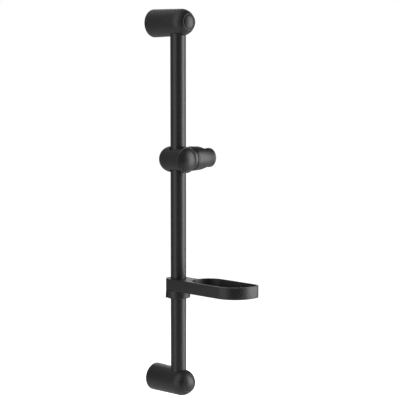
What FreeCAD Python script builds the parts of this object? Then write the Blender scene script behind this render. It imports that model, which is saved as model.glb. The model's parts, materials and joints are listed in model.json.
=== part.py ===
"""A shower slide rail: a round tube between two wall brackets, with a sliding handset holder
and a soap dish. Millimetres, +Z up. The wall is the plane Y = 0 and the front faces -Y.
The origin is on the wall, midway between the two screw holes."""
import FreeCAD, Part
import math
import os

# Rail tube
rail_radius = 12.5
rail_wall = 1.2
rail_length = 600.0
rail_offset = 55.0          # from the wall to the rail's axis
rail_overrun = 10.0         # tube past each screw's axis, inside its bracket
socket_clearance = 0.05     # between the tube and a bracket's socket
screw_hole_radius = 3.0
cross_hole_clearance = 0.4  # between the screw and the tube, each side

# Wall brackets, turned about the screw's axis
bracket_wall_radius = 22.6
bracket_front_radius = 21.3
dome_advance = 8.0          # from the rail's axis to the centre of the front dome
bead_outer_radius = 14.2
bead_width = 3.0
bead_height = 1.5
cap_recess_depth = 6.5      # from the bead's inner edge down to the screw seat
core_depth = 30.0           # hollow in the wall face
core_wall = 3.5
core_boss_radius = 8.0
bracket_edge_round = 1.0

# Caps over the screw heads
cap_clearance = 0.12
cap_wall = 1.8
cap_crown_height = 2.6

# Slider
slider_height = 72.3        # of its centre above the origin
slider_wall = 8.5           # from the rail's surface to the slider's
slider_back_length = 14.5   # from the rail's axis to the centre of the round back end
slider_rim_wall = 1.7
slider_rim_round = 1.2
bush_thickness = 1.7
bush_gap = 0.7              # between the brake's slot and a bush
bush_length = 7.8
running_clearance = 0.05
rail_running_clearance = 0.05
spring_seat_wall = 2.35     # in front of the bushes
spring_well = 3.9           # from the spring seat to the front rim

# Release button and brake
button_travel = 3.0
button_clearance = 0.12
button_wall = 1.5
button_skirt = 3.5          # button inside the rim at rest
button_crown_radius = 24.0
button_shoulder = 1.2       # straight side that stands out of the rim
button_hollow = 1.0         # how far the hollow behind reaches past the crown's foot
yoke_arm_gap = 0.8          # between the rail and an arm
yoke_arm_thickness = 2.4
yoke_half_height = 5.0
yoke_bar_thickness = 2.6
pad_gap = 0.3
pad_thickness = 2.2
pad_half_width = 6.0
slot_clearance = 0.5
end_clearance = 0.6
spring_radius = 2.6
spring_wire_radius = 0.35
spring_turns = 4.0
spring_margin = 1.55        # between the brake's slot and a spring
spring_gap = 0.3

# Handset holder on the slider's side
boss_step = 2.0             # the boss is this much slimmer than the slider
boss_length = 27.5          # from the rail's axis to the boss's face
ring_step = 1.0             # the ring stands this far proud of the boss
ring_thickness = 3.0
ring_round = 0.9
holder_gap = 0.3
holder_root_step = 0.4      # the root is this much slimmer than the ring
holder_belly_taper = 0.5    # slimmer than the root, as are the neck and the lip
holder_neck_taper = 4.2
holder_lip_taper = 3.7
holder_belly_along = 16.0   # from the root, as are the neck, the end, the cone and the screw's seat
holder_neck_along = 35.7
holder_length = 41.7
holder_end_round = 3.0
spigot_radius = 7.0
cone_along = 24.2           # handset cone's axis
cone_top_radius = 11.8
cone_bottom_radius = 10.2
hose_slot_width = 15.5
pivot_screw_radius = 2.5
pivot_head_radius = 5.0
pivot_head_height = 3.0
pivot_thread_length = 4.6
pivot_seat_along = 7.5      # face in the holder that the washer presses on
thread_wall = 1.2           # between the brake's slot and the screw's tip
pivot_hole_clearance = 0.05
pivot_head_clearance = 0.5
thread_clearance = 0.02
drive_radius = 1.7
drive_depth = 1.8
washer_thickness = 1.0

# Soap dish
dish_top = -119.8           # of the rim, from the origin
dish_height = 18.9
dish_half_width = 30.6
dish_back_centre = 57.8     # centre of the tray's back arc, in front of the rail's axis
dish_front = 144.5          # front edge of the tray, in front of the rail's axis
dish_right_corner = 15.2    # radius of the front right corner
dish_front_flat = 8.0       # between the right corner and the left one, which takes up the rest
dish_wall = 3.5
dish_floor = 2.5
dish_edge_round = 1.0
block_side_wall = 2.95      # beside the bush
block_back_wall = 4.6       # behind the bush
block_chamfer = 9.5
drain_count = 5
drain_width = 4.0
drain_length = 34.0
drain_pitch = 11.0
dish_bush_thickness = 2.45
collar_width = 4.0          # the collar stands this far out from the bush
collar_height = 12.4
collar_round = 1.2
collar_gap = 0.1
grip_height = 3.0
grip_thickness = 1.1

# Values that follow from the ones above
screw_spacing = rail_length - 2 * rail_overrun
rail_axis_y = -rail_offset
socket_radius = rail_radius + socket_clearance
cross_hole_radius = screw_hole_radius + cross_hole_clearance
bracket_dome_start = rail_offset + dome_advance
bead_inner_radius = bead_outer_radius - bead_width
bead_outer_depth = bracket_dome_start + math.sqrt(bracket_front_radius**2 - bead_outer_radius**2)
bead_crest_depth = bead_outer_depth + bead_height
seat_depth = bead_outer_depth - cap_recess_depth
cap_radius = bead_inner_radius - cap_clearance

yoke_arm_inner = rail_radius + yoke_arm_gap
yoke_arm_outer = yoke_arm_inner + yoke_arm_thickness
pad_back = rail_radius + pad_gap + pad_thickness
yoke_back = pad_back + yoke_bar_thickness
slot_half_height = yoke_half_height + slot_clearance
slot_half_width = yoke_arm_outer + slot_clearance

bush_bore_radius = rail_radius + rail_running_clearance
bush_outer_radius = bush_bore_radius + bush_thickness
bush_seat_radius = bush_outer_radius + running_clearance
bush_start = slot_half_height + bush_gap
bush_end = bush_start + bush_length
slider_radius = rail_radius + slider_wall
web_front = bush_seat_radius + spring_seat_wall
slider_front_length = web_front + spring_well
rim_inner_radius = slider_radius - slider_rim_wall
button_radius = rim_inner_radius - button_clearance
button_inner_radius = button_radius - button_wall
crown_base = slider_front_length + button_shoulder
crown_centre = crown_base - math.sqrt(button_crown_radius**2 - button_radius**2)
button_face = crown_base + button_hollow
spring_place = slot_half_height + spring_margin + spring_radius + spring_wire_radius

boss_radius = slider_radius - boss_step
ring_radius = boss_radius + ring_step
holder_root_radius = ring_radius - holder_root_step
holder_start = boss_length + ring_thickness + holder_gap
holder_end = holder_start + holder_length
cone_place = holder_start + cone_along
pivot_seat_place = holder_start + pivot_seat_along
thread_tip = slot_half_width + thread_wall
boss_floor = thread_tip + pivot_thread_length
spigot_tip = boss_floor + holder_gap
washer_start = pivot_seat_place + holder_gap
head_start = washer_start + washer_thickness

dish_bottom = dish_top - dish_height
dish_bush_radius = bush_bore_radius + dish_bush_thickness
dish_seat_radius = dish_bush_radius + running_clearance
collar_radius = dish_bush_radius + collar_width
block_half_width = dish_seat_radius + block_side_wall
block_back = dish_seat_radius + block_back_wall
dish_centre_side = dish_half_width - block_half_width
dish_left_corner = 2 * dish_half_width - dish_right_corner - dish_front_flat

X = FreeCAD.Vector(1, 0, 0)
Y = FreeCAD.Vector(0, 1, 0)
Z = FreeCAD.Vector(0, 0, 1)
up_and_down = {"upper": 1, "lower": -1}
near = 0.01                 # edges this close to a level count as lying on it


def at(x, y, z):
    """A point given from the rail's axis: x sideways, y towards the wall, z up."""
    return FreeCAD.Vector(x, rail_axis_y + y, z)


def rod(radius, start, end):
    """A cylinder from one point to another."""
    run = end - start
    return Part.makeCylinder(radius, run.Length, start, run)


def tube(outer, inner, start, end):
    return rod(outer, start, end).cut(rod(inner, start, end))


def block(low, high):
    size = high - low
    return Part.makeBox(size.x, size.y, size.z, low)


def turned(edges, origin, axis, across):
    """Turn a closed outline about an axis. The outline's points are (radius, distance along the axis)."""
    def place(point):
        return origin + across * point[0] + axis * point[1]
    parts = []
    for edge in edges:
        points = [place(point) for point in edge]
        if len(points) == 3:
            parts.append(Part.Arc(points[0], points[1], points[2]).toShape())
        else:
            parts.append(Part.LineSegment(points[0], points[1]).toShape())
    face = Part.Face(Part.Wire(parts))
    return face.revolve(origin, axis, 360)


def arc_middle(centre, radius, start, end):
    """The middle point of the arc between two points on a circle, on the side of the two."""
    middle = ((start[0] + end[0]) / 2 - centre[0], (start[1] + end[1]) / 2 - centre[1])
    scale = radius / math.hypot(middle[0], middle[1])
    return (centre[0] + middle[0] * scale, centre[1] + middle[1] * scale)


def rounded(shape, radius, wanted):
    """Round the edges that the test picks."""
    edges = [edge for edge in shape.Edges if wanted(edge)]
    return shape.makeFillet(radius, edges)


def flat_at(edge, direction, level):
    """Is the whole edge in the plane at this level along a direction?"""
    return all(abs(vertex.Point.dot(direction) - level) < near for vertex in edge.Vertexes)


def round_edge_at(edge, radius, direction, level):
    """Is the edge a circle of this radius in the plane at this level?"""
    curve = edge.Curve
    if not isinstance(curve, Part.Circle):
        return False
    return abs(curve.Radius - radius) < near and abs(curve.Center.dot(direction) - level) < near


def rail_tube():
    half = rail_length / 2
    shape = tube(rail_radius, rail_radius - rail_wall, at(0, 0, -half), at(0, 0, half))
    for side in up_and_down.values():
        height = side * screw_spacing / 2
        hole = rod(cross_hole_radius, at(0, -rail_radius * 2, height), at(0, rail_radius * 2, height))
        shape = shape.cut(hole)
    return shape


def bracket(side):
    """One bracket: a tapered post with a domed front, a raised bead and a recess for its cap."""
    height = side * screw_spacing / 2
    origin = FreeCAD.Vector(0, 0, height)
    dome_edge = (bracket_front_radius, bracket_dome_start)
    bead_foot = (bead_outer_radius, bead_outer_depth)
    bead_top = (bead_outer_radius - bead_width / 2, bead_crest_depth)
    bead_lip = (bead_inner_radius, bead_outer_depth)
    dome_middle = arc_middle((0, bracket_dome_start), bracket_front_radius, dome_edge, bead_foot)
    outline = [
        [(0, 0), (bracket_wall_radius, 0)],
        [(bracket_wall_radius, 0), dome_edge],
        [dome_edge, dome_middle, bead_foot],
        [bead_foot, bead_top, bead_lip],
        [bead_lip, (bead_inner_radius, seat_depth)],
        [(bead_inner_radius, seat_depth), (0, seat_depth)],
        [(0, seat_depth), (0, 0)],
    ]
    shape = turned(outline, origin, -Y, X)
    shape = rounded(shape, bracket_edge_round, lambda edge: round_edge_at(edge, bracket_wall_radius, Y, 0))
    socket_end = at(0, 0, side * rail_length / 2)
    shape = shape.cut(rod(socket_radius, at(0, 0, height - side * bracket_wall_radius * 2), socket_end))
    shape = shape.cut(rod(screw_hole_radius, origin, origin - Y * (seat_depth + cap_recess_depth)))
    core = tube(bracket_wall_radius - core_wall, core_boss_radius, origin, origin - Y * core_depth)
    return shape.cut(core)


def screw_cap(side):
    """A domed cap that snaps into the bracket's front recess and hides the screw's head."""
    origin = FreeCAD.Vector(0, 0, side * screw_spacing / 2)
    rim = bead_outer_depth + bead_height / 2
    crown = rim + cap_crown_height
    crown_radius = (cap_radius**2 + cap_crown_height**2) / (2 * cap_crown_height)
    rim_point = (cap_radius, rim)
    top_point = (0, crown)
    crown_middle = arc_middle((0, crown - crown_radius), crown_radius, rim_point, top_point)
    hollow_radius = cap_radius - cap_wall
    hollow_top = rim - cap_wall / 2
    outline = [
        [(hollow_radius, seat_depth), (cap_radius, seat_depth)],
        [(cap_radius, seat_depth), rim_point],
        [rim_point, crown_middle, top_point],
        [top_point, (0, hollow_top)],
        [(0, hollow_top), (hollow_radius, hollow_top)],
        [(hollow_radius, hollow_top), (hollow_radius, seat_depth)],
    ]
    return turned(outline, origin, -Y, X)


def slider_body():
    """A capsule that lies across the rail, with a side boss for the handset holder."""
    centre = at(0, 0, slider_height)
    back = at(0, slider_back_length, slider_height)
    front = at(0, -slider_front_length, slider_height)
    shape = rod(slider_radius, front, back)
    shape = rounded(
        shape, slider_rim_round, lambda edge: round_edge_at(edge, slider_radius, Y, front.y)
    )
    shape = shape.fuse(Part.makeSphere(slider_radius, back))
    shape = shape.fuse(rod(boss_radius, centre, centre + X * boss_length)).removeSplitter()
    # The way for the rail and its bushes
    reach = slider_radius * 2
    shape = shape.cut(rod(bush_seat_radius, centre - Z * reach, centre + Z * reach))
    # The way for the brake yoke, with room for its travel
    slot_end = yoke_back + button_travel + end_clearance
    slot_low = centre + FreeCAD.Vector(-slot_half_width, -reach, -slot_half_height)
    slot_high = centre + FreeCAD.Vector(slot_half_width, slot_end, slot_half_height)
    shape = shape.cut(block(slot_low, slot_high))
    # The well that the button's skirt runs in, around the spring seats
    well_floor = slider_front_length - button_skirt - button_travel - end_clearance
    shape = shape.cut(rod(rim_inner_radius, centre - Y * web_front, centre - Y * reach))
    ring_well = tube(
        rim_inner_radius, button_inner_radius - button_clearance, centre - Y * well_floor, centre - Y * reach
    )
    shape = shape.cut(ring_well)
    # The bearing for the holder's spigot and the thread for its pivot screw
    bearing_radius = spigot_radius + running_clearance
    shape = shape.cut(rod(bearing_radius, centre + X * boss_floor, centre + X * reach))
    thread_radius = pivot_screw_radius + thread_clearance
    return shape.cut(rod(thread_radius, centre + X * thread_tip, centre + X * reach))


def guide_bush(side):
    """A plain sleeve that runs on the rail inside the slider."""
    start = at(0, 0, slider_height + side * bush_start)
    end = at(0, 0, slider_height + side * bush_end)
    return tube(bush_outer_radius, bush_bore_radius, start, end)


def release_button():
    """A domed button in the slider's front rim, hollow behind for the springs and the yoke."""
    centre = at(0, 0, slider_height)
    skirt_end = slider_front_length - button_skirt
    rim_point = (button_radius, crown_base)
    top_point = (0, crown_centre + button_crown_radius)
    middle = arc_middle((0, crown_centre), button_crown_radius, rim_point, top_point)
    outline = [
        [(button_inner_radius, skirt_end), (button_radius, skirt_end)],
        [(button_radius, skirt_end), rim_point],
        [rim_point, middle, top_point],
        [top_point, (0, button_face)],
        [(0, button_face), (button_inner_radius, button_face)],
        [(button_inner_radius, button_face), (button_inner_radius, skirt_end)],
    ]
    return turned(outline, centre, -Y, X)


def brake_yoke():
    """A frame around the rail: pressing the button carries its back bar away from the rail."""
    centre = at(0, 0, slider_height)
    outer = block(
        centre + FreeCAD.Vector(-yoke_arm_outer, -button_face, -yoke_half_height),
        centre + FreeCAD.Vector(yoke_arm_outer, yoke_back, yoke_half_height),
    )
    window = block(
        centre + FreeCAD.Vector(-yoke_arm_inner, -button_face, -yoke_half_height),
        centre + FreeCAD.Vector(yoke_arm_inner, pad_back, yoke_half_height),
    )
    return outer.cut(window)


def brake_pad():
    """A rubber block on the yoke's bar, hollowed to the rail's curve."""
    centre = at(0, 0, slider_height)
    shape = block(
        centre + FreeCAD.Vector(-pad_half_width, 0, -yoke_half_height),
        centre + FreeCAD.Vector(pad_half_width, pad_back, yoke_half_height),
    )
    return shape.cut(rod(rail_radius + pad_gap, centre - Z * yoke_half_height, centre + Z * yoke_half_height))


def button_spring(side):
    """A coil spring between the slider's spring seat and the button."""
    foot = web_front + spring_gap + spring_wire_radius
    head = button_face - spring_gap - spring_wire_radius
    length = head - foot
    path = Part.makeLongHelix(length / spring_turns, length, spring_radius)
    wire_end = Part.makeCircle(spring_wire_radius, FreeCAD.Vector(spring_radius, 0, 0), Y)
    coil = Part.Wire(path.Edges).makePipeShell([Part.Wire(wire_end)], True, True)
    coil.rotate(FreeCAD.Vector(0, 0, 0), X, 90)
    coil.translate(at(0, -foot, slider_height + side * spring_place))
    return coil


def friction_ring():
    """The collar between the slider's boss and the holder."""
    centre = at(0, 0, slider_height)
    inner = spigot_radius + holder_gap
    shape = tube(ring_radius, inner, centre + X * boss_length, centre + X * (boss_length + ring_thickness))

    def outer_edge(edge):
        faces = (boss_length, boss_length + ring_thickness)
        return any(round_edge_at(edge, ring_radius, X, face) for face in faces)
    return rounded(shape, ring_round, outer_edge)


def handset_holder():
    """A tapered barrel with an upright cone for the handset and a slot behind for its hose."""
    centre = at(0, 0, slider_height)
    root = (holder_root_radius, holder_start)
    belly = (holder_root_radius - holder_belly_taper, holder_start + holder_belly_along)
    neck = (holder_root_radius - holder_neck_taper, holder_start + holder_neck_along)
    lip_radius = holder_root_radius - holder_lip_taper
    lip_start = (lip_radius, holder_end - holder_end_round)
    lip_middle = (
        lip_radius - holder_end_round * (1 - math.sqrt(0.5)),
        holder_end - holder_end_round * (1 - math.sqrt(0.5)),
    )
    lip_end = (lip_radius - holder_end_round, holder_end)
    outline = [
        [(0, spigot_tip), (spigot_radius, spigot_tip)],
        [(spigot_radius, spigot_tip), (spigot_radius, holder_start)],
        [(spigot_radius, holder_start), root],
        [root, belly, neck],
        [neck, lip_start],
        [lip_start, lip_middle, lip_end],
        [lip_end, (0, holder_end)],
        [(0, holder_end), (0, spigot_tip)],
    ]
    shape = turned(outline, centre, X, Z)
    cone_axis = centre + X * cone_place
    cone = Part.makeCone(
        cone_bottom_radius, cone_top_radius, slider_radius * 2, cone_axis - Z * slider_radius, Z
    )
    shape = shape.cut(cone)
    half_slot = hose_slot_width / 2
    slot = block(
        cone_axis + FreeCAD.Vector(-half_slot, 0, -slider_radius),
        cone_axis + FreeCAD.Vector(half_slot, slider_radius, slider_radius),
    )
    shape = shape.cut(slot)
    shank_hole = pivot_screw_radius + pivot_hole_clearance
    shape = shape.cut(rod(shank_hole, centre + X * spigot_tip, cone_axis))
    head_hole = pivot_head_radius + pivot_head_clearance
    return shape.cut(rod(head_hole, centre + X * pivot_seat_place, cone_axis))


def pivot_screw():
    """The screw that the holder turns on, with a hexagon socket in its head."""
    centre = at(0, 0, slider_height)
    head_end = head_start + pivot_head_height
    shape = rod(pivot_screw_radius, centre + X * thread_tip, centre + X * head_start)
    shape = shape.fuse(rod(pivot_head_radius, centre + X * head_start, centre + X * head_end))
    corners = []
    for corner in range(7):
        angle = math.radians(60 * corner)
        offset = FreeCAD.Vector(0, math.cos(angle), math.sin(angle)) * drive_radius
        corners.append(centre + X * (head_end - drive_depth) + offset)
    socket = Part.Face(Part.makePolygon(corners)).extrude(X * drive_depth)
    return shape.cut(socket).removeSplitter()


def spring_washer():
    centre = at(0, 0, slider_height)
    inner = pivot_screw_radius + pivot_hole_clearance
    return tube(pivot_head_radius, inner, centre + X * washer_start, centre + X * head_start)


def quarter(centre, radius, start, end):
    """A quarter of a circle from one direction to another."""
    middle = (start + end) * math.sqrt(0.5)
    return Part.Arc(centre + start * radius, centre + middle * radius, centre + end * radius).toShape()


def tray(wall, low, high):
    """The tray's outline within a wall: an arc at the back, straight sides and two rounded front corners."""
    left = dish_centre_side - dish_half_width
    right = dish_centre_side + dish_half_width
    back = at(dish_centre_side, -dish_back_centre, low)
    near_left = at(left + dish_left_corner, dish_left_corner - dish_front, low)
    near_right = at(right - dish_right_corner, dish_right_corner - dish_front, low)
    back_radius = dish_half_width - wall
    left_radius = dish_left_corner - wall
    right_radius = dish_right_corner - wall
    outline = Part.Wire([
        quarter(back, back_radius, X, Y),
        quarter(back, back_radius, Y, -X),
        Part.makeLine(back - X * back_radius, near_left - X * left_radius),
        quarter(near_left, left_radius, -X, -Y),
        Part.makeLine(near_left - Y * left_radius, near_right - Y * right_radius),
        quarter(near_right, right_radius, -Y, X),
        Part.makeLine(near_right + X * right_radius, back + X * back_radius),
    ])
    return Part.Face(outline).extrude(Z * (high - low))


def soap_dish():
    """A rounded tray whose left side runs back to the block on the rail."""
    left = -block_half_width
    right = block_half_width
    corners = [
        at(left, -dish_back_centre, dish_bottom),
        at(left, block_back - block_chamfer, dish_bottom),
        at(left + block_chamfer, block_back, dish_bottom),
        at(right - block_chamfer, block_back, dish_bottom),
        at(right, block_back - block_chamfer, dish_bottom),
        at(right, -dish_back_centre, dish_bottom),
    ]
    carrier = Part.Face(Part.makePolygon(corners + corners[:1])).extrude(Z * dish_height)
    shape = tray(0, dish_bottom, dish_top)
    shape = shape.fuse(carrier).removeSplitter()
    shape = rounded(
        shape,
        dish_edge_round,
        lambda edge: flat_at(edge, Z, dish_top) or flat_at(edge, Z, dish_bottom),
    )
    shape = shape.cut(tray(dish_wall, dish_bottom + dish_floor, dish_top + dish_height))
    middle = (dish_back_centre - dish_half_width + dish_front) / 2
    half_length = drain_length / 2
    half_width = drain_width / 2
    for number in range(drain_count):
        along = middle + (number - (drain_count - 1) / 2) * drain_pitch
        low = at(dish_centre_side - half_length, -along - half_width, dish_bottom - dish_floor)
        high = at(dish_centre_side + half_length, -along + half_width, dish_bottom + dish_floor * 2)
        shape = shape.cut(block(low, high))
    seat = rod(dish_seat_radius, at(0, 0, dish_bottom - dish_height), at(0, 0, dish_top + dish_height))
    return shape.cut(seat)


def dish_bush():
    """The sleeve that the dish turns on, with the collar that carries it."""
    collar_top = dish_bottom - collar_gap
    collar_low = collar_top - collar_height
    collar = rod(collar_radius, at(0, 0, collar_low), at(0, 0, collar_top))
    collar = rounded(
        collar, collar_round, lambda edge: round_edge_at(edge, collar_radius, Z, collar_low)
    )
    shape = collar.fuse(rod(dish_bush_radius, at(0, 0, collar_low), at(0, 0, dish_top))).removeSplitter()
    shape = shape.cut(rod(bush_bore_radius, at(0, 0, collar_low), at(0, 0, dish_top)))
    grip_low = (dish_top + dish_bottom - grip_height) / 2
    groove = rod(bush_bore_radius + grip_thickness, at(0, 0, grip_low), at(0, 0, grip_low + grip_height))
    return shape.cut(groove)


def grip_ring():
    """The rubber ring in the bush that holds the dish where it is put."""
    grip_low = (dish_top + dish_bottom - grip_height) / 2
    return tube(
        bush_bore_radius + grip_thickness, bush_bore_radius,
        at(0, 0, grip_low), at(0, 0, grip_low + grip_height),
    )


nodes = {
    "rail_tube": rail_tube(),
    "slider_body": slider_body(),
    "release_button": release_button(),
    "brake_yoke": brake_yoke(),
    "brake_pad": brake_pad(),
    "friction_ring": friction_ring(),
    "handset_holder": handset_holder(),
    "pivot_screw": pivot_screw(),
    "spring_washer": spring_washer(),
    "soap_dish": soap_dish(),
    "dish_bush": dish_bush(),
    "grip_ring": grip_ring(),
}
for name, side in up_and_down.items():
    nodes[name + "_bracket"] = bracket(side)
    nodes[name + "_screw_cap"] = screw_cap(side)
    nodes[name + "_guide_bush"] = guide_bush(side)
    nodes[name + "_button_spring"] = button_spring(side)

os.makedirs("parts", exist_ok=True)
for name, shape in nodes.items():
    shape.exportStep("parts/" + name + ".step")
    box = shape.BoundBox
    print(
        f"{name}: {len(shape.Solids)} solid, valid {shape.isValid()}, {shape.Volume:.1f} mm3, "
        f"X {box.XMin:.1f} to {box.XMax:.1f}, Y {box.YMin:.1f} to {box.YMax:.1f}, "
        f"Z {box.ZMin:.1f} to {box.ZMax:.1f}"
    )
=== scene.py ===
# %% [markdown]
# # A matte black shower slide rail
#
# The object is a 600 mm tube between two wall brackets. A slider with a release button carries a tilting
# holder for the handset, and a soap dish slides and turns below it. This lesson loads the exact solids,
# remakes the pieces that the eye lingers on with softer edges, gives every piece its finish, and sets up
# a small studio around them.

# %% Load the solids
import json
import math

import bmesh
import bpy
from mathutils import Matrix, Vector


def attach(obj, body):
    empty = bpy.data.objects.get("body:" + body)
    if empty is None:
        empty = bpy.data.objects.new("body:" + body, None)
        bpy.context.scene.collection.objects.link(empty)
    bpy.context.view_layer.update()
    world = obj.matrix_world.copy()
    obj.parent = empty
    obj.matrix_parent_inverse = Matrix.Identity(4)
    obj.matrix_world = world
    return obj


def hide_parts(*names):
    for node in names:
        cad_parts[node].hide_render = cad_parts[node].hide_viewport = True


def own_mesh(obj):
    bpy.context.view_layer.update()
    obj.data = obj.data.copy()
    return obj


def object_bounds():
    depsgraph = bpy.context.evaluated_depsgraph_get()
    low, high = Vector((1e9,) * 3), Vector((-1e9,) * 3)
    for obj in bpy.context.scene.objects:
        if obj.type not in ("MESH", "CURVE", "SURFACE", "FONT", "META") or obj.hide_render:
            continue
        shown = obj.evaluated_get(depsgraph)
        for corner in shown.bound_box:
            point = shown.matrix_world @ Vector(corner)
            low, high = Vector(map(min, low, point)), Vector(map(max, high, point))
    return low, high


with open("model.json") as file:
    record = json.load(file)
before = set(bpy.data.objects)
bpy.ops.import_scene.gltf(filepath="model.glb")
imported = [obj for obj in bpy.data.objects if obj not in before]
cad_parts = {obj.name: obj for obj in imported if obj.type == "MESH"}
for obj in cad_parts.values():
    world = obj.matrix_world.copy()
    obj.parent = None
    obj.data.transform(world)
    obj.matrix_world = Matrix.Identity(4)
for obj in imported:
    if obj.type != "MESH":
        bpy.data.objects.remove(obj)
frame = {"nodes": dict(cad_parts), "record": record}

solid_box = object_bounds()
print("solids:", len(frame["nodes"]))

# %% [markdown]
# ## The camera
#
# The rail runs straight up the picture, and the brackets and the dish lean away to the right. Their slopes
# and heights fix the view: 45 degrees round to the left of the front, a few degrees above, and from about
# 2.1 m away. A long lens keeps the two brackets nearly the same size. The view could be matched by eye, but
# numbers that were worked out from measured slopes are easier to trust.

# %% Camera
picture_width, focal_pixels, sensor_width = 400, 1293, 36.0
camera_place = (-1.4341, -1.5466, 0.2102)
camera_tilt, camera_turn = 84.39, -44.84

camera_data = bpy.data.cameras.new("camera")
camera_data.sensor_width = sensor_width
camera_data.lens = sensor_width * focal_pixels / picture_width
camera = bpy.data.objects.new("camera", camera_data)
camera.location = camera_place
camera.rotation_euler = (math.radians(camera_tilt), 0, math.radians(camera_turn))
bpy.context.collection.objects.link(camera)
bpy.context.scene.camera = camera
print(f"lens {camera_data.lens:.1f} mm, {camera.location.length:.2f} m from the origin")

# %% [markdown]
# ## Finishes
#
# Every finish is built from nodes. One function adds a node with its settings and its links, so that each
# finish reads as a short list. Colours are written as the hex values that a paint chart gives, and one
# function turns them into the linear numbers that light needs. Patterns are placed by Object coordinates,
# which are metres here, so a pattern's scale follows from its real size.


# %% Helpers for finishes
def linear(hex_colour):
    """The linear colour of an sRGB hex value."""
    channels = []
    for place in (0, 2, 4):
        value = int(hex_colour[place:place + 2], 16) / 255
        channels.append(value / 12.92 if value <= 0.04045 else ((value + 0.055) / 1.055) ** 2.4)
    return (*channels, 1.0)


def add(tree, kind, settings):
    """Add a node. Each setting of an input is a plain value, or a link from another node's output."""
    node = tree.nodes.new(kind)
    for name, value in settings.items():
        if isinstance(value, bpy.types.NodeSocket):
            tree.links.new(value, node.inputs[name])
        else:
            node.inputs[name].default_value = value
    return node


def per_metre(millimetres):
    """The texture scale whose pattern repeats about every so many millimetres."""
    return 1000.0 / millimetres


def new_finish(name):
    """An empty finish: the material, its nodes, and the coordinates that place its patterns."""
    material = bpy.data.materials.new(name)
    material.use_nodes = True
    tree = material.node_tree
    tree.nodes.clear()
    place = add(tree, "ShaderNodeTexCoord", {}).outputs["Object"]
    return material, tree, place


print("the grey 808080 as light:", round(linear("808080")[0], 3))

# %% [markdown]
# ### Powder coated steel: the tube
#
# The tube is sprayed with a fine black powder that melts into a skin in the oven. The skin keeps a faint
# orange peel, soft bumps a millimetre or so apart, which breaks a highlight up a little. It is a shade
# smoother than the moulded pieces, so it catches more light. A painted image could show this too, but a
# noise has no seams and needs no unwrapping.

# %% Powder coat
coat, tree, place = new_finish("powder_coated_steel_matte_black")
peel = add(tree, "ShaderNodeTexNoise", {"Vector": place, "Scale": per_metre(1.4), "Detail": 2.0})
cloud = add(tree, "ShaderNodeTexNoise", {"Vector": place, "Scale": per_metre(60), "Detail": 3.0})
shade = add(tree, "ShaderNodeValToRGB", {"Fac": cloud.outputs["Fac"]})
shade.color_ramp.elements[0].color = linear("1b1b1c")
shade.color_ramp.elements[1].color = linear("202021")
gloss = add(tree, "ShaderNodeMapRange", {"Value": peel.outputs["Fac"], "To Min": 0.37, "To Max": 0.45})
bumps = add(tree, "ShaderNodeBump", {
    "Height": peel.outputs["Fac"], "Strength": 0.06, "Distance": 0.0003})
skin = add(tree, "ShaderNodeBsdfPrincipled", {
    "Base Color": shade.outputs["Color"], "Roughness": gloss.outputs["Result"],
    "Normal": bumps.outputs["Normal"], "IOR": 1.5})
add(tree, "ShaderNodeOutputMaterial", {"Surface": skin.outputs["BSDF"]})
print("finish:", coat.name)

# %% [markdown]
# ### Moulded ABS: brackets, slider, holder and dish
#
# These, with their caps, button and collars, are moulded in a tool whose walls were etched, so the surface
# has a fine grain that scatters light: a dull, even black with a soft sheen on the rounded edges. The real
# grain is about 0.1 mm, too fine to show, so it is drawn at half a millimetre. A plain black without the grain
# would look too smooth up close.

# %% Moulded ABS
abs_black, tree, place = new_finish("moulded_ABS_etched_matte_black")
grain = add(tree, "ShaderNodeTexNoise", {"Vector": place, "Scale": per_metre(0.5), "Detail": 1.0})
cloud = add(tree, "ShaderNodeTexNoise", {"Vector": place, "Scale": per_metre(25), "Detail": 3.0})
shade = add(tree, "ShaderNodeValToRGB", {"Fac": cloud.outputs["Fac"]})
shade.color_ramp.elements[0].color = linear("111112")
shade.color_ramp.elements[1].color = linear("161617")
gloss = add(tree, "ShaderNodeMapRange", {"Value": grain.outputs["Fac"], "To Min": 0.42, "To Max": 0.52})
bumps = add(tree, "ShaderNodeBump", {
    "Height": grain.outputs["Fac"], "Strength": 0.08, "Distance": 0.0002})
skin = add(tree, "ShaderNodeBsdfPrincipled", {
    "Base Color": shade.outputs["Color"], "Roughness": gloss.outputs["Result"],
    "Normal": bumps.outputs["Normal"], "IOR": 1.54})
add(tree, "ShaderNodeOutputMaterial", {"Surface": skin.outputs["BSDF"]})
print("finish:", abs_black.name)

# %% [markdown]
# ### The hidden finishes
#
# Inside the slider are black acetal bushes and the brake's yoke, waxy and smooth. The brake's pad and the
# dish's grip are rubber, dull and faintly pebbled. They hardly show, so each finish is one noise and little
# more.

# %% Acetal and rubber
acetal, tree, place = new_finish("machined_acetal_black")
wax = add(tree, "ShaderNodeTexNoise", {"Vector": place, "Scale": per_metre(0.8), "Detail": 2.0})
gloss = add(tree, "ShaderNodeMapRange", {"Value": wax.outputs["Fac"], "To Min": 0.28, "To Max": 0.4})
skin = add(tree, "ShaderNodeBsdfPrincipled", {
    "Base Color": linear("1d1d1e"), "Roughness": gloss.outputs["Result"], "IOR": 1.48})
add(tree, "ShaderNodeOutputMaterial", {"Surface": skin.outputs["BSDF"]})

rubber, tree, place = new_finish("moulded_nitrile_rubber_black")
grain = add(tree, "ShaderNodeTexNoise", {"Vector": place, "Scale": per_metre(0.6), "Detail": 3.0})
bumps = add(tree, "ShaderNodeBump", {
    "Height": grain.outputs["Fac"], "Strength": 0.2, "Distance": 0.0002})
gloss = add(tree, "ShaderNodeMapRange", {"Value": grain.outputs["Fac"], "To Min": 0.7, "To Max": 0.85})
skin = add(tree, "ShaderNodeBsdfPrincipled", {
    "Base Color": linear("191919"), "Roughness": gloss.outputs["Result"],
    "Normal": bumps.outputs["Normal"], "IOR": 1.52})
add(tree, "ShaderNodeOutputMaterial", {"Surface": skin.outputs["BSDF"]})
print("finishes:", acetal.name, rubber.name)

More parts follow.
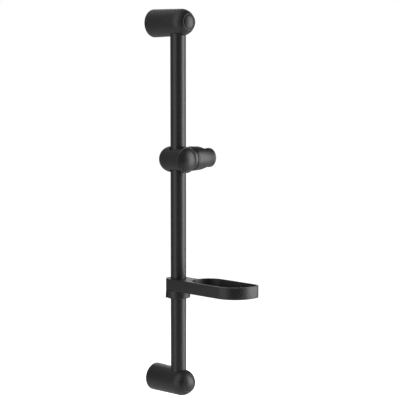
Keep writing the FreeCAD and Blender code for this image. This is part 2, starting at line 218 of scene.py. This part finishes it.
# %% [markdown]
# ### Zinc plate: springs, pivot screw and washer
#
# The small steel pieces are zinc plated, a bright grey with a faint cool cast. It is a metal, so its colour
# is the colour of its reflections, and it keeps the usual IOR. A fine noise stands for the plating's spangle.

# %% Zinc plate
zinc, tree, place = new_finish("zinc_plated_steel_drawn")
spangle = add(tree, "ShaderNodeTexNoise", {"Vector": place, "Scale": per_metre(0.7), "Detail": 3.0})
shade = add(tree, "ShaderNodeValToRGB", {"Fac": spangle.outputs["Fac"]})
shade.color_ramp.elements[0].color = linear("a9acb0")
shade.color_ramp.elements[1].color = linear("c3c6ca")
gloss = add(tree, "ShaderNodeMapRange", {"Value": spangle.outputs["Fac"], "To Min": 0.24, "To Max": 0.36})
skin = add(tree, "ShaderNodeBsdfPrincipled", {
    "Base Color": shade.outputs["Color"], "Roughness": gloss.outputs["Result"], "Metallic": 1.0})
add(tree, "ShaderNodeOutputMaterial", {"Surface": skin.outputs["BSDF"]})
print("finish:", zinc.name)

# %% [markdown]
# ## Which piece has which finish
#
# The solids that stay as they are only need their finish. The record says what each one is made of, so the
# finishes follow from its slots and no list of pieces has to be kept here.

# %% Finishes on the solids
finish_of = {
    "rail_coating": coat,
    "black_plastic": abs_black,
    "guide_plastic": acetal,
    "rubber": rubber,
    "steel": zinc,
}
slot_of = {part["node"]: part["material_slot"] for part in frame["record"]["subparts"]}
for node, solid in frame["nodes"].items():
    solid.data.materials.clear()
    solid.data.materials.append(finish_of[slot_of[node]])
print("solids with a finish:", len(slot_of))

# %% [markdown]
# ## How the pieces are modelled
#
# The moulded pieces are made as a workshop would make them. An outline is drawn flat, then it is turned about
# an axis or raised to a thickness. Holes are cut out of that blank with cutters, and the edges that a hand
# would meet are rounded. Points could be pushed about one by one instead, but a drawn outline keeps every
# size in plain sight. Sizes are in millimetres, as on a drawing, and one factor turns them into metres.

# %% Helpers for drawing an outline
MM = 0.001


def start_outline(bm, point):
    """Put the pencil down: the first point of an outline in the plane of X and Y."""
    return [bmesh.ops.create_vert(bm, co=(point[0] * MM, point[1] * MM, 0))["vert"][0]]


def line_to(bm, outline, *points):
    """Draw on in straight lines."""
    for point in points:
        end = bmesh.ops.create_vert(bm, co=(point[0] * MM, point[1] * MM, 0))["vert"][0]
        bm.edges.new((outline[-1], end))
        outline.append(end)


def arc_about(bm, outline, centre, degrees, steps):
    """Draw on along an arc, anticlockwise where the angle is positive."""
    spun = bmesh.ops.spin(
        bm, geom=[outline[-1]], cent=(centre[0] * MM, centre[1] * MM, 0), axis=(0, 0, 1),
        angle=math.radians(degrees), steps=steps)
    outline += [item for item in spun["geom_last"] if isinstance(item, bmesh.types.BMVert)]


def close_outline(bm, outline):
    """Draw the last line back to the start."""
    bm.edges.new((outline[-1], outline[0]))


print("a millimetre on the drawing is", MM, "m in the scene")

# %% [markdown]
# ### From an outline to a solid
#
# A turned piece is spun once round, and a raised one is filled and extruded. Spinning leaves double points
# where the last step meets the first, so they are merged, and the faces are then told which way is out.

# %% Helpers for turning, raising and rounding
turning_steps = 96
same_point = 1e-6
sharp_degrees = 60


def turn_outline(bm):
    """Turn the outline about the Y axis into a solid, with its faces outwards."""
    bmesh.ops.spin(
        bm, geom=bm.verts[:] + bm.edges[:], cent=(0, 0, 0), axis=(0, 1, 0), angle=math.tau,
        steps=turning_steps, use_merge=True)
    bmesh.ops.remove_doubles(bm, verts=bm.verts, dist=same_point)
    bmesh.ops.recalc_face_normals(bm, faces=bm.faces)


def raise_outline(bm, low, high):
    """Fill the outline and raise it from one height to another."""
    bmesh.ops.remove_doubles(bm, verts=bm.verts, dist=same_point)
    bmesh.ops.contextual_create(bm, geom=bm.edges[:])
    bmesh.ops.translate(bm, verts=bm.verts, vec=(0, 0, low * MM))
    raised = bmesh.ops.extrude_face_region(bm, geom=bm.faces[:])["geom"]
    top = [item for item in raised if isinstance(item, bmesh.types.BMVert)]
    bmesh.ops.translate(bm, verts=top, vec=(0, 0, (high - low) * MM))
    bmesh.ops.recalc_face_normals(bm, faces=bm.faces)


def level_edges(bm, height):
    """The sharp edges that lie at one height, in millimetres."""
    level = [edge for edge in bm.edges
             if all(abs(vert.co.z - height * MM) < same_point for vert in edge.verts)]
    return [edge for edge in level
            if edge.is_manifold and edge.calc_face_angle() > math.radians(sharp_degrees)]


def round_edges(bm, edges, radius, segments):
    """Round the edges, with a radius in millimetres."""
    bmesh.ops.bevel(
        bm, geom=edges, offset=radius * MM, offset_type="OFFSET", segments=segments, profile=0.5,
        affect="EDGES", material=-1, clamp_overlap=False)


print("a turned piece has", turning_steps, "sides")

# %% [markdown]
# ### Cutting and handing over
#
# Cutters and additions are solids of their own. Boolean modifiers join additions to the blank and take
# cutters out of it, and the result goes back into a bmesh for its last edges. A finished piece rides on its
# body and takes the place of the solid.

# %% Helpers for cutting and handing over
same_point_after_cut = 2e-6
smooth_degrees = 40


def as_object(bm, name):
    """Make the shape an object of the scene."""
    mesh = bpy.data.meshes.new(name)
    bm.to_mesh(mesh)
    bm.free()
    thing = bpy.data.objects.new(name, mesh)
    bpy.context.collection.objects.link(thing)
    return thing


def rod_cutter(radius, start, end):
    """A round cutter from one point to another, in millimetres."""
    start, end = Vector(start) * MM, Vector(end) * MM
    bm = bmesh.new()
    bmesh.ops.create_cone(
        bm, cap_ends=True, segments=turning_steps, radius1=radius * MM, radius2=radius * MM,
        depth=(end - start).length)
    turn = (end - start).to_track_quat("Z", "Y").to_matrix().to_4x4()
    bmesh.ops.transform(bm, matrix=Matrix.Translation((start + end) / 2) @ turn, verts=bm.verts)
    return as_object(bm, "cutter")


def cut_out(blank, cutters, additions=()):
    """Add the additions to the blank and cut the cutters out of it. Gives the shape to work on."""
    tools = [(thing, "UNION") for thing in additions] + [(thing, "DIFFERENCE") for thing in cutters]
    for thing, operation in tools:
        step = blank.modifiers.new(operation.lower(), "BOOLEAN")
        step.operation = operation
        step.solver = "EXACT"
        step.object = thing
    bpy.context.view_layer.update()
    finished = blank.evaluated_get(bpy.context.evaluated_depsgraph_get())
    bm = bmesh.new()
    bm.from_mesh(bpy.data.meshes.new_from_object(finished))
    for thing in [blank, *additions, *cutters]:
        bpy.data.objects.remove(thing)
    bmesh.ops.remove_doubles(bm, verts=bm.verts, dist=same_point_after_cut)
    return bm


def hand_over(bm, name, finish, body, node):
    """Shade the piece smoothly, give it its finish, and let it ride in place of the solid."""
    piece = as_object(bm, name)
    mesh = piece.data
    mesh.shade_smooth()
    mesh.set_sharp_from_angle(angle=math.radians(smooth_degrees))
    mesh.materials.append(finish)
    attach(piece, body)
    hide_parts(node)
    corners = [Vector(corner) / MM for corner in piece.bound_box]
    print(name, "faces:", len(mesh.polygons), "from", [round(v, 1) for v in corners[0]],
          "to", [round(v, 1) for v in corners[6]])
    return piece


print("edges over", smooth_degrees, "degrees stay sharp")

# %% [markdown]
# ## The wall brackets
#
# Each bracket is a moulded post, slightly tapered, whose front is a dome with a thin raised bead around the
# screw cap. A cylinder and a ball could be joined, but the bracket is round about the screw, so its outline
# is drawn once and turned, without a seam. The wall side is hollow, as moulded pieces are, with a boss around
# the screw. The socket for the tube is cut last.

# %% Sizes of the wall brackets
rail_y, rail_radius = -55.0, 12.5
screw_height, screw_hole = 290.0, 3.0
wall_radius, wall_round = 22.56, 1.0
front_radius, dome_place = 21.3, 63.0
bead_radius, bead_half_width = 12.9, 0.65
seat_radius, seat_place = 11.2, 72.38
core_radius, core_depth, core_boss = 19.1, 30.0, 8.0
socket_clearance, socket_past_screw, socket_reach = 0.05, 10.0, 60.0
wall_round_steps, dome_steps, bead_steps, ledge_steps = 5, 20, 8, 2

dome_centre = (0, -dome_place)
bead_degrees = math.degrees(math.asin(bead_radius / front_radius))
bead_spread = 2 * math.degrees(math.asin(bead_half_width / 2 / front_radius))
bead_centre = (bead_radius, -dome_place - front_radius * math.cos(math.radians(bead_degrees)))
seat_degrees = math.degrees(math.asin(seat_radius / front_radius))
print(f"the bead sits {bead_degrees:.1f} degrees round the dome")

# %% Wall brackets
for side, level, inwards in (("upper", screw_height, -1), ("lower", -screw_height, 1)):
    bm = bmesh.new()
    outline = start_outline(bm, (screw_hole, -seat_place))
    line_to(bm, outline, (screw_hole, 0), (core_boss, 0), (core_boss, -core_depth),
            (core_radius, -core_depth), (core_radius, 0), (wall_radius - wall_round, 0))
    arc_about(bm, outline, (wall_radius - wall_round, -wall_round), -90, wall_round_steps)
    line_to(bm, outline, (front_radius, -dome_place))
    arc_about(bm, outline, dome_centre, bead_degrees + bead_spread - 90, dome_steps)
    arc_about(bm, outline, bead_centre, -180 - bead_spread, bead_steps)
    arc_about(bm, outline, dome_centre, seat_degrees - bead_degrees + bead_spread, ledge_steps)
    line_to(bm, outline, (seat_radius, -seat_place))
    close_outline(bm, outline)
    turn_outline(bm)
    bmesh.ops.translate(bm, verts=bm.verts, vec=(0, 0, level * MM))
    blank = as_object(bm, "blank")
    socket = rod_cutter(
        rail_radius + socket_clearance, (0, rail_y, level - inwards * socket_past_screw),
        (0, rail_y, level + inwards * socket_reach))
    bm = cut_out(blank, [socket])
    hand_over(bm, side + "_bracket_moulding", abs_black, "frame", side + "_bracket")

# %% [markdown]
# ## The screw caps
#
# A cap is a thin dome that snaps into its seat inside the bead and carries on the roundness of the bracket's
# front. A slice of a ball would be close, but a turned outline also has the wall and the rolled rim, which
# leaves a hairline between cap and bracket.

# %% Screw caps
cap_radius, cap_wall = 11.08, 1.8
cap_roll, cap_roll_steps = 0.2, 4
cap_degrees = math.degrees(math.asin(cap_radius / front_radius))
cap_rim = dome_place + front_radius * math.cos(math.radians(cap_degrees))
cap_crown = dome_place + front_radius

for side, level in (("upper", screw_height), ("lower", -screw_height)):
    bm = bmesh.new()
    outline = start_outline(bm, (0, cap_wall - cap_crown))
    line_to(bm, outline, (cap_radius - cap_wall, cap_wall - cap_rim), (cap_radius - cap_wall, -seat_place),
            (cap_radius, -seat_place), (cap_radius, -cap_rim))
    rim = outline[-1]
    arc_about(bm, outline, dome_centre, -cap_degrees, dome_steps)
    bmesh.ops.bevel(
        bm, geom=[rim], offset=cap_roll * MM, segments=cap_roll_steps, profile=0.5, affect="VERTICES",
        material=-1)
    turn_outline(bm)
    bmesh.ops.translate(bm, verts=bm.verts, vec=(0, 0, level * MM))
    hand_over(bm, side + "_screw_cap_moulding", abs_black, "frame", side + "_screw_cap")

# %% [markdown]
# ## The soap dish
#
# The dish is moulded in one with the block that holds it on the rail. A box with rounded edges can't have
# corners of different sizes, so its outline is drawn in plan, with the wall at the back: the block, a wide
# arc, and two unlike front corners. The outline is raised to the dish's height.

# %% Sizes of the soap dish
dish_top, dish_bottom = -119.8, -138.7
dish_wall, dish_floor = 3.5, 2.5
dish_left, dish_right, dish_front = -18.0, 43.2, 144.5
left_corner, right_corner = 38.0, 15.2
back_arc_side, back_arc_place, back_arc_radius = 12.6, 57.8, 30.6
block_right, block_back, block_chamfer = 18.0, 19.65, 9.5
dish_round, dish_round_steps = 0.6, 4
left_corner_steps, right_corner_steps, back_arc_steps = 26, 14, 24

back_arc = (back_arc_side, rail_y - back_arc_place)
meets_block = math.degrees(math.asin((block_right - back_arc_side) / back_arc_radius))
print(f"dish {dish_top - dish_bottom:.1f} mm high, {dish_right - dish_left:.1f} mm wide")


# %% Blank of the soap dish
def front_of_tray(bm, outline, wall):
    """Draw the right side, the front and its two corners, one wall in from the outside."""
    right_centre = (dish_right - right_corner, rail_y - dish_front + right_corner)
    left_centre = (dish_left + left_corner, rail_y - dish_front + left_corner)
    line_to(bm, outline, (dish_right - wall, right_centre[1]))
    arc_about(bm, outline, right_centre, -90, right_corner_steps)
    line_to(bm, outline, (left_centre[0], rail_y - dish_front + wall))
    arc_about(bm, outline, left_centre, -90, left_corner_steps)


bm = bmesh.new()
outline = start_outline(
    bm, (block_right, back_arc[1] + back_arc_radius * math.cos(math.radians(meets_block))))
arc_about(bm, outline, back_arc, meets_block - 90, back_arc_steps)
front_of_tray(bm, outline, 0)
line_to(bm, outline, (dish_left, rail_y + block_back - block_chamfer),
        (dish_left + block_chamfer, rail_y + block_back), (block_right - block_chamfer, rail_y + block_back),
        (block_right, rail_y + block_back - block_chamfer))
close_outline(bm, outline)
raise_outline(bm, dish_bottom, dish_top)
round_edges(bm, level_edges(bm, dish_top) + level_edges(bm, dish_bottom), dish_round, dish_round_steps)
blank = as_object(bm, "blank")
print("blank of the dish, faces:", len(blank.data.polygons))

# %% [markdown]
# ### Hollow, drain slots and bore
#
# A plug of nearly the same outline, one wall thickness smaller, hollows the dish out. Its lower edge is
# rounded, which leaves a soft corner along the floor. Slots in the floor let the water out, and the block is
# bored for the bush that slides on the rail.

# %% Cutters for the soap dish
plug_round, plug_round_steps, plug_arc_steps = 2.0, 4, 48
drain_width, drain_length, drain_pitch, drain_count = 4.0, 34.0, 11.0, 5
drain_end_steps = 10
bore_radius, overshoot = 15.05, 5.0

bm = bmesh.new()
outline = start_outline(bm, (dish_left + dish_wall, back_arc[1]))
arc_about(bm, outline, back_arc, -180, plug_arc_steps)
front_of_tray(bm, outline, dish_wall)
close_outline(bm, outline)
raise_outline(bm, dish_bottom + dish_floor, dish_top + dish_floor)
round_edges(bm, level_edges(bm, dish_bottom + dish_floor), plug_round, plug_round_steps)
cutters = [as_object(bm, "cutter")]

half_length, half_width = (drain_length - drain_width) / 2, drain_width / 2
middle = rail_y - (back_arc_place - back_arc_radius + dish_front) / 2
for number in range(drain_count):
    along = middle + (number - (drain_count - 1) / 2) * drain_pitch
    bm = bmesh.new()
    outline = start_outline(bm, (back_arc_side - half_length, along - half_width))
    line_to(bm, outline, (back_arc_side + half_length, along - half_width))
    arc_about(bm, outline, (back_arc_side + half_length, along), 180, drain_end_steps)
    line_to(bm, outline, (back_arc_side - half_length, along + half_width))
    arc_about(bm, outline, (back_arc_side - half_length, along), 180, drain_end_steps)
    raise_outline(bm, dish_bottom - dish_floor, dish_bottom + 2 * dish_floor)
    cutters.append(as_object(bm, "cutter"))

cutters.append(rod_cutter(
    bore_radius, (0, rail_y, dish_bottom - overshoot), (0, rail_y, dish_top + overshoot)))
print("cutters for the dish:", len(cutters))

# %% [markdown]
# ### The skirt, and the dish put together
#
# At the back of the block a short skirt hangs down behind the collar and flares a little. From the front it
# shows only as a dark foot at the left. It is raised from the back of the block's outline, joined on, and
# bored wide enough to clear the collar. Then the rim is rounded on both sides, so that a thin bright line
# runs along it.

# %% Skirt and finished dish
skirt_bottom, skirt_bore, skirt_inset, skirt_flare = -151.2, 19.2, 0.2, 1.04
rim_round, rim_round_steps = 0.4, 3

bm = bmesh.new()
outline = start_outline(bm, (dish_left + skirt_inset, rail_y + block_back - block_chamfer))
line_to(bm, outline, (dish_left + block_chamfer, rail_y + block_back - skirt_inset),
        (block_right - block_chamfer, rail_y + block_back - skirt_inset),
        (block_right - skirt_inset, rail_y + block_back - block_chamfer))
close_outline(bm, outline)
raise_outline(bm, skirt_bottom, dish_bottom + dish_floor)
foot = [vert for vert in bm.verts if vert.co.z < dish_bottom * MM]
about_rail = Matrix.Translation((0, -rail_y * MM, 0))
bmesh.ops.scale(bm, verts=foot, vec=(skirt_flare, skirt_flare, 1), space=about_rail)
skirt = as_object(bm, "skirt")
cutters.append(rod_cutter(
    skirt_bore, (0, rail_y, skirt_bottom - overshoot), (0, rail_y, dish_bottom + skirt_inset)))

bm = cut_out(blank, cutters, [skirt])
round_edges(bm, level_edges(bm, dish_top), rim_round, rim_round_steps)
hand_over(bm, "soap_dish_moulding", abs_black, "dish", "soap_dish")

# %% [markdown]
# ## The button's springs
#
# Two small coil springs push the release button out. A curve with a round profile could stand for a coil, but
# sweeping the round end of the wire round and along at once gives a closed mesh straight away.

# %% Button springs
slider_height, spring_offset = 72.3, 10.0
coil_radius, coil_turns, steps_per_turn = 2.6, 4, 32
wire_radius, wire_sides = 0.35, 12
coil_foot, coil_head = -72.3, -77.1
coil_steps = coil_turns * steps_per_turn

for side, level in (("upper", slider_height + spring_offset), ("lower", slider_height - spring_offset)):
    bm = bmesh.new()
    wire_end = Matrix.Translation(Vector((coil_radius, coil_foot, level)) * MM)
    bmesh.ops.create_circle(
        bm, cap_ends=True, segments=wire_sides, radius=wire_radius * MM, matrix=wire_end)
    bmesh.ops.spin(
        bm, geom=bm.verts[:] + bm.edges[:] + bm.faces[:], cent=(0, 0, level * MM), axis=(0, 1, 0),
        dvec=(0, (coil_head - coil_foot) * MM / coil_steps, 0), angle=math.tau * coil_turns,
        steps=coil_steps)
    bmesh.ops.recalc_face_normals(bm, faces=bm.faces)
    coil = hand_over(bm, side + "_button_coil", zinc, "slider", side + "_button_spring")
    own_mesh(coil)

# %% [markdown]
# ## The studio: floor
#
# The floor is a wide sheet of pale paper, well below the object. It glows to the camera, so that it comes out
# white, and far less to everything else, so that it doesn't wash the black out. A brightly lit floor would
# look as white, but every black surface would then reflect it.

# %% Floor
up = Vector((0, 0, 1))
floor_drop, floor_half_width = 0.35, 30.0
glow_on_object, glow_to_camera = 0.05, 1.0

sheet = bmesh.new()
bmesh.ops.create_grid(sheet, x_segments=1, y_segments=1, size=floor_half_width)
bmesh.ops.translate(sheet, verts=sheet.verts, vec=up * (solid_box[0][2] - floor_drop))
floor = as_object(sheet, "floor")

paper, tree, _ = new_finish("studio_paper_pale")
ray = add(tree, "ShaderNodeLightPath", {})
glow = add(tree, "ShaderNodeMapRange", {
    "Value": ray.outputs["Is Camera Ray"], "To Min": glow_on_object, "To Max": glow_to_camera})
skin = add(tree, "ShaderNodeBsdfPrincipled", {
    "Base Color": linear("f4f4f4"), "Roughness": 0.9, "Emission Color": linear("ffffff"),
    "Emission Strength": glow.outputs["Result"]})
add(tree, "ShaderNodeOutputMaterial", {"Surface": skin.outputs["BSDF"]})
floor.data.materials.append(paper)
print(f"floor {floor_drop} m below the object")

# %% [markdown]
# ## The studio: lights
#
# The object is black, so what the eye sees on it is mostly what it reflects. A large soft light on the right
# draws the bright band down the right of every round piece, and a weaker one on the left lifts the left side.
# A faint one behind on the left lines the left edges. One high up behind on the left draws the line along the
# tops of the brackets, and one behind the object catches the level rims. Nothing stands behind the camera,
# which keeps the middle of each piece dark.

# %% Lights
studio_turn = math.radians(-44)
right = Vector((math.cos(studio_turn), math.sin(studio_turn), 0))
away = Vector((-right.y, right.x, 0))


def soft_light(name, turn, distance, height, size_x, size_y, power):
    """A soft box at an angle round from the camera's side of the object, to the right where positive."""
    round_to = math.radians(turn)
    spot = (right * math.sin(round_to) - away * math.cos(round_to)) * distance + up * height
    light = bpy.data.lights.new(name, "AREA")
    light.shape = "RECTANGLE"
    light.size = size_x
    light.size_y = size_y
    light.energy = power
    lamp = bpy.data.objects.new(name, light)
    lamp.location = spot
    lamp.rotation_euler = (-spot).to_track_quat("-Z", "Y").to_euler()
    bpy.context.collection.objects.link(lamp)


# The turn is in degrees, the distance, height and sizes are in metres, and the power is in watts.
soft_light("right_softbox", 84, 1.7, 0.0, 1.5, 2.8, 66)
soft_light("left_softbox", -51, 0.9, 0.3, 0.84, 3.8, 14.5)
soft_light("left_rim_softbox", -125, 1.6, 0.0, 0.9, 3.0, 2.5)
soft_light("overhead_softbox", -155, 1.1, 1.8, 1.8, 1.4, 5.5)
soft_light("backdrop_softbox", 180, 2.2, 0.6, 1.2, 1.6, 9)

# %% [markdown]
# ## The studio: background
#
# The background does as the floor does: it is white to the camera and nearly dark to everything else. The
# plain view transform shows black and white as they are.

# %% Background
background_on_object, background_to_camera = 0.04, 1.0
white_light = (1, 1, 1, 1)
world = bpy.data.worlds.new("studio")
bpy.context.scene.world = world
world.use_nodes = True
tree = world.node_tree
tree.nodes.clear()
ray = add(tree, "ShaderNodeLightPath", {})
dim = add(tree, "ShaderNodeBackground", {"Color": white_light, "Strength": background_on_object})
bright = add(tree, "ShaderNodeBackground", {"Color": white_light, "Strength": background_to_camera})
both = add(tree, "ShaderNodeMixShader", {
    "Fac": ray.outputs["Is Camera Ray"], 1: dim.outputs["Background"], 2: bright.outputs["Background"]})
add(tree, "ShaderNodeOutputWorld", {"Surface": both.outputs["Shader"]})
bpy.context.scene.view_settings.view_transform = "Standard"
print("background:", world.name)
